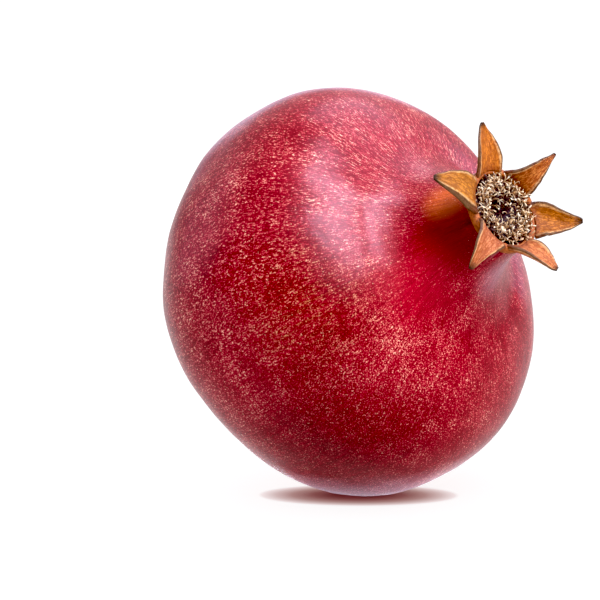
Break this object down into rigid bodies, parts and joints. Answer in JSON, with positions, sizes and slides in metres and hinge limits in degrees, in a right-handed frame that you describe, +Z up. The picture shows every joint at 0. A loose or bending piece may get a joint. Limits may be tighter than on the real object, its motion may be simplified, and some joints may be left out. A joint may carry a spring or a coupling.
{
  "type": "pomegranate",
  "caption": "Whole pomegranate lying on its side, with a short neck, a crown of dry sepals round a cup of stamens, and a clipped stem.",
  "frame": {"origin": "on the small flat spot that the fruit rests on, straight below the middle of its body", "axes": "+Z up; +X is the level direction that the crown leans towards; the fruit's own axis lies in the XZ plane and climbs 27.5 degrees from the stem end to the crown"},
  "size_m": [0.1086, 0.0964, 0.099],
  "materials": {
    "rind": "smooth waxy skin, crimson with paler streaks and fine pale specks",
    "sepals": "dry leathery sepals, orange-brown with darker edges and tips",
    "stamens": "dry straw-coloured threads with dark ends",
    "stalk": "brown bark with a paler cut end"
  },
  "bodies": {
    "root": {"rind": "rind", "crown": "sepals", "stamens": "stamens", "stem_stub": "stalk"}
  },
  "joints": []
}
